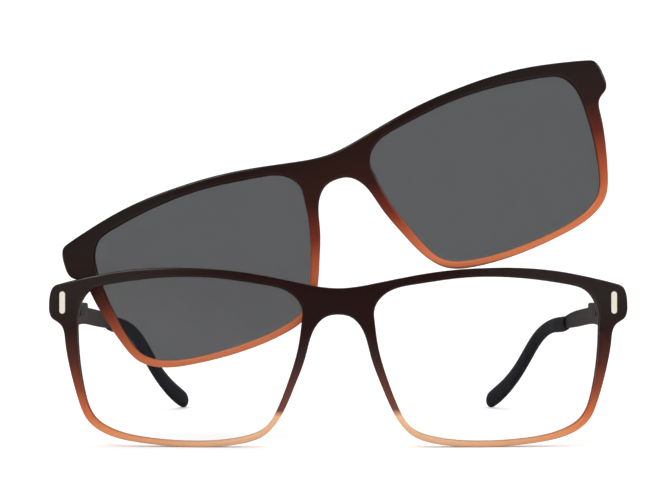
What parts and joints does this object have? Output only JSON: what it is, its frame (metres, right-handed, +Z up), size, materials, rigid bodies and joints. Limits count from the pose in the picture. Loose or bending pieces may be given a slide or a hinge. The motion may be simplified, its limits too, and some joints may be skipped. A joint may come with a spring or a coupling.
{
  "type": "eyeglasses with clip-on sun lenses",
  "caption": "Full-rim eyeglasses with spring-hinged metal temples, standing open, and a matching magnetic clip-on sun-lens front that leans, tilted, behind them.",
  "frame": {"origin": "on the table, under the middle of the whole object (bounding box bottom centre)", "axes": "+X to the wearer's left (right of the picture), +Y from the front towards the temple tips, +Z up; the front of the glasses faces -Y. left_ and right_ in node names are the wearer's"},
  "size_m": [0.1412, 0.1414, 0.0946],
  "materials": {
    "front_acetate": "polished acetate, dark brown fading to amber and peach at the lower rims",
    "clip_acetate": "polished, dark brown fading to copper orange at the lower rims",
    "clear_lens": "clear coated lens",
    "sun_lens": "grey polarised lens",
    "nickel": "nickel plating",
    "hinge_steel": "satin",
    "temple_metal": "satin, dark brown-grey",
    "temple_tip": "semi-gloss black sleeve"
  },
  "bodies": {
    "front": {"front": "front_acetate", "left_lens": "clear_lens", "left_magnet": "nickel", "left_hinge_plate": "hinge_steel", "left_plate_screws": "hinge_steel", "left_hinge_screw": "hinge_steel", "right_lens": "clear_lens", "right_magnet": "nickel", "right_hinge_plate": "hinge_steel", "right_plate_screws": "hinge_steel", "right_hinge_screw": "hinge_steel"},
    "left_slider": {"left_spring_slider": "hinge_steel", "left_spring_nut": "hinge_steel", "left_hinge_spring": "hinge_steel"},
    "left_temple": {"left_temple_arm": "temple_metal", "left_temple_tip": "temple_tip", "left_spring_housing": "temple_metal", "left_housing_cap": "hinge_steel"},
    "right_slider": {"right_spring_slider": "hinge_steel", "right_spring_nut": "hinge_steel", "right_hinge_spring": "hinge_steel"},
    "right_temple": {"right_temple_arm": "temple_metal", "right_temple_tip": "temple_tip", "right_spring_housing": "temple_metal", "right_housing_cap": "hinge_steel"},
    "clip": {"clip_front": "clip_acetate", "clip_left_lens": "sun_lens", "clip_right_lens": "sun_lens", "clip_left_magnet": "nickel", "clip_right_magnet": "nickel"}
  },
  "joints": [
    {"name": "left_temple_fold", "type": "hinge", "parent": "front", "child": "left_slider", "pos_m": [0.066, -0.0569, 0.0329], "axis": [0, 0, 1], "range_deg": [-10, 84]},
    {"name": "left_spring_travel", "type": "slide", "parent": "left_slider", "child": "left_temple", "axis": [0, 1, 0], "range_m": [0, 0.0008], "stiffness_N_per_m": 500, "springref_m": -0.002, "deforming": ["left_hinge_spring"]},
    {"name": "right_temple_fold", "type": "hinge", "parent": "front", "child": "right_slider", "pos_m": [-0.066, -0.0569, 0.0329], "axis": [0, 0, -1], "range_deg": [-10, 80]},
    {"name": "right_spring_travel", "type": "slide", "parent": "right_slider", "child": "right_temple", "axis": [0, 1, 0], "range_m": [0, 0.0008], "stiffness_N_per_m": 500, "springref_m": -0.002, "deforming": ["right_hinge_spring"]},
    {"name": "clip_lift", "type": "slide", "parent": "front", "child": "clip", "axis": [0, 0, 1], "range_m": [0, 0.07]}
  ]
}
